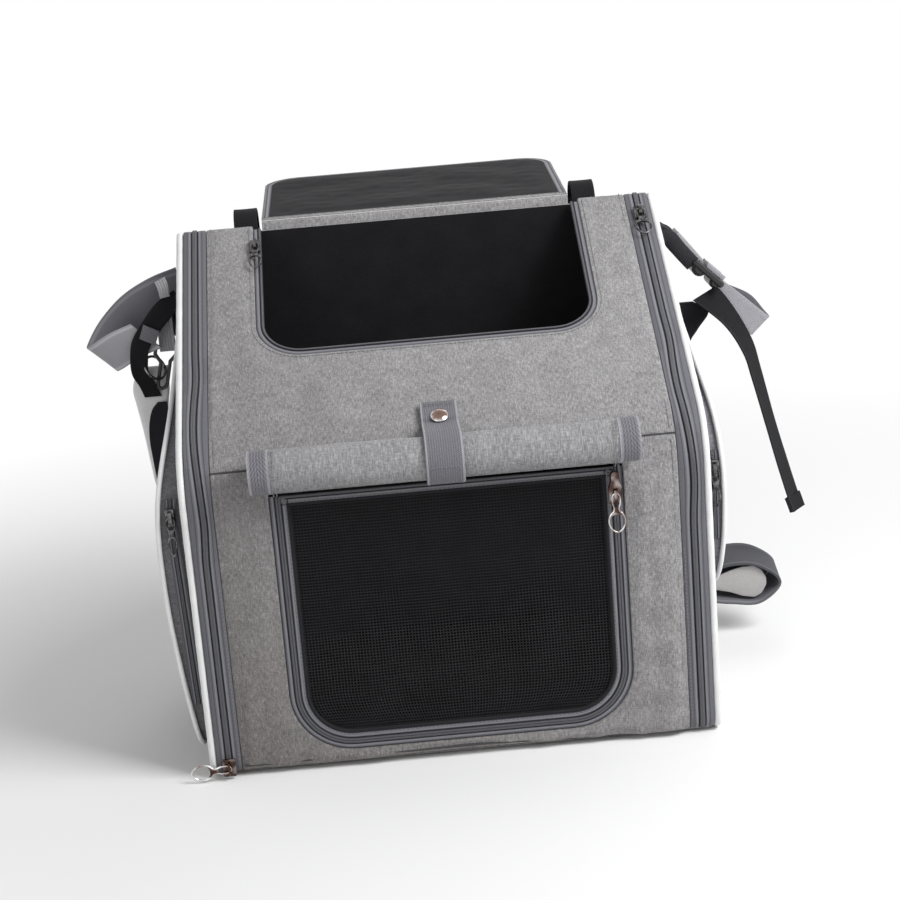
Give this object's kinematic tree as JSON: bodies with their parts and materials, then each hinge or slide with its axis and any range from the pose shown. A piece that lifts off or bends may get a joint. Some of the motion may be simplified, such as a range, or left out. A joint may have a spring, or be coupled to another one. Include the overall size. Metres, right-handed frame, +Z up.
{
  "type": "bicycle pet carrier basket",
  "caption": "Soft-sided pet carrier basket for a bicycle's handlebar, with a mesh front window, a rolled curtain, a head opening, side pockets and straps.",
  "frame": {"origin": "centre of the bottom panel's underside", "axes": "+X to the viewer's right, +Y from the window to the handlebar side, +Z up"},
  "size_m": [0.5457, 0.3972, 0.3698],
  "materials": {
    "heather_fabric": "light grey heather weave",
    "zip_tape": "grey-blue woven tape with a dark coil",
    "white_piping": "smooth white piping",
    "grey_webbing": "ribbed grey-lilac webbing",
    "dark_webbing": "dark slate webbing with light edges",
    "black_net": "fine black net",
    "black_lining": "matt black lining",
    "pad_fabric": "light grey padded cloth",
    "board": "matt board",
    "cushion_plush": "short plush",
    "black_plastic": "satin moulded plastic",
    "chrome": "polished"
  },
  "bodies": {
    "carrier": {"front_panel": "heather_fabric", "hood_panel": "heather_fabric", "back_panel": "heather_fabric", "bottom_panel": "heather_fabric", "left_side_panel": "heather_fabric", "right_side_panel": "heather_fabric", "left_edge_zip": "zip_tape", "right_edge_zip": "zip_tape", "left_piping": "white_piping", "right_piping": "white_piping", "window_zip": "zip_tape", "head_zip": "zip_tape", "hinge_strip": "heather_fabric", "curtain_roll": "heather_fabric", "left_roll_binding": "grey_webbing", "right_roll_binding": "grey_webbing", "roll_strap": "grey_webbing", "snap_stud": "chrome", "base_board": "board", "floor_cushion": "cushion_plush", "left_pocket": "heather_fabric", "left_pocket_piping": "white_piping", "left_pocket_zip": "zip_tape", "right_pocket": "heather_fabric", "right_pocket_piping": "white_piping", "right_pocket_zip": "zip_tape", "left_bar_strap": "dark_webbing", "right_bar_strap": "dark_webbing", "left_anchor": "dark_webbing", "left_strap_loop": "dark_webbing", "left_pad": "pad_fabric", "hook_tab": "grey_webbing", "right_anchor": "dark_webbing", "right_buckle": "black_plastic", "right_strap_tail": "dark_webbing", "right_strap_loop": "dark_webbing", "right_pad": "pad_fabric", "lower_strap_loop": "dark_webbing"},
    "window_door": {"window_frame": "zip_tape", "window_net": "black_net"},
    "window_slider": {"window_slider": "chrome"},
    "window_pull": {"window_pull": "chrome"},
    "top_door": {"top_door_panel": "heather_fabric", "top_door_lining": "black_lining", "top_door_zip": "zip_tape", "top_door_hinge": "heather_fabric"},
    "snap_tab": {"snap_tab": "grey_webbing", "snap_cap": "chrome"},
    "left_edge_slider": {"left_edge_slider": "chrome"},
    "left_edge_pull": {"left_edge_pull": "chrome"},
    "right_edge_slider": {"right_edge_slider": "chrome"},
    "right_edge_pull": {"right_edge_pull": "chrome"},
    "head_slider": {"head_slider": "chrome"},
    "head_pull": {"head_pull": "chrome"},
    "left_pocket_slider": {"left_pocket_slider": "chrome"},
    "left_pocket_pull": {"left_pocket_pull": "chrome"},
    "right_pocket_slider": {"right_pocket_slider": "chrome"},
    "right_pocket_pull": {"right_pocket_pull": "chrome"},
    "hook_and_ring": {"snap_hook": "black_plastic", "strap_ring": "chrome"}
  },
  "joints": [
    {"name": "window_door_hinge", "type": "hinge", "parent": "carrier", "child": "window_door", "pos_m": [0, -0.1076, 0.2035], "axis": [-1, 0, 0], "range_deg": [0, 60]},
    {"name": "window_slider_travel", "type": "slide", "parent": "window_door", "child": "window_slider", "axis": [0, 0, -1], "range_m": [0, 0.115]},
    {"name": "window_pull_swing", "type": "hinge", "parent": "window_slider", "child": "window_pull", "pos_m": [0.1155, -0.1133, 0.1852], "axis": [-1, 0, 0], "range_deg": [0, 75]},
    {"name": "top_door_hinge_line", "type": "hinge", "parent": "carrier", "child": "top_door", "pos_m": [0, 0.1128, 0.35844], "axis": [1, 0, 0], "range_deg": [-84, 207.15]},
    {"name": "snap_tab_fold", "type": "hinge", "parent": "carrier", "child": "snap_tab", "pos_m": [0, -0.12093, 0.2424], "axis": [1, 0, 0], "range_deg": [0, 110]},
    {"name": "left_edge_slider_travel", "type": "slide", "parent": "carrier", "child": "left_edge_slider", "axis": [0, 0, 1], "range_m": [0, 0.15]},
    {"name": "left_edge_pull_swing", "type": "hinge", "parent": "left_edge_slider", "child": "left_edge_pull", "pos_m": [-0.16875, -0.11665, 0.0085], "axis": [-0.0599, 0, 0.9982], "range_deg": [0, 100]},
    {"name": "right_edge_slider_travel", "type": "slide", "parent": "carrier", "child": "right_edge_slider", "axis": [0, -0.8558, -0.5174], "range_m": [0, 0.18]},
    {"name": "right_edge_pull_swing", "type": "hinge", "parent": "right_edge_slider", "child": "right_edge_pull", "pos_m": [0.16875, 0.08196, 0.34728], "axis": [-1, 0, 0], "range_deg": [0, 150]},
    {"name": "head_slider_travel", "type": "slide", "parent": "carrier", "child": "head_slider", "axis": [0, -0.8558, -0.5174], "range_m": [0, 0.075]},
    {"name": "head_pull_swing", "type": "hinge", "parent": "head_slider", "child": "head_pull", "pos_m": [-0.123, 0.08238, 0.34659], "axis": [-1, 0, 0], "range_deg": [0, 150]},
    {"name": "left_pocket_slider_travel", "type": "slide", "parent": "carrier", "child": "left_pocket_slider", "axis": [0.0314, 0, -0.9995], "range_m": [0, 0.09]},
    {"name": "left_pocket_pull_swing", "type": "hinge", "parent": "left_pocket_slider", "child": "left_pocket_pull", "pos_m": [-0.19061, -0.1019, 0.1932], "axis": [-1, 0, 0], "range_deg": [0, 120]},
    {"name": "right_pocket_slider_travel", "type": "slide", "parent": "carrier", "child": "right_pocket_slider", "axis": [-0.0183, 0, -0.9998], "range_m": [0, 0.042]},
    {"name": "right_pocket_pull_swing", "type": "hinge", "parent": "right_pocket_slider", "child": "right_pocket_pull", "pos_m": [0.18642, -0.1019, 0.1932], "axis": [-1, 0, 0], "range_deg": [0, 120]},
    {"name": "hook_swing", "type": "hinge", "parent": "carrier", "child": "hook_and_ring", "pos_m": [-0.1972, 0.0845, 0.2734], "axis": [-1, 0, 0], "range_deg": [-4, 12]}
  ]
}
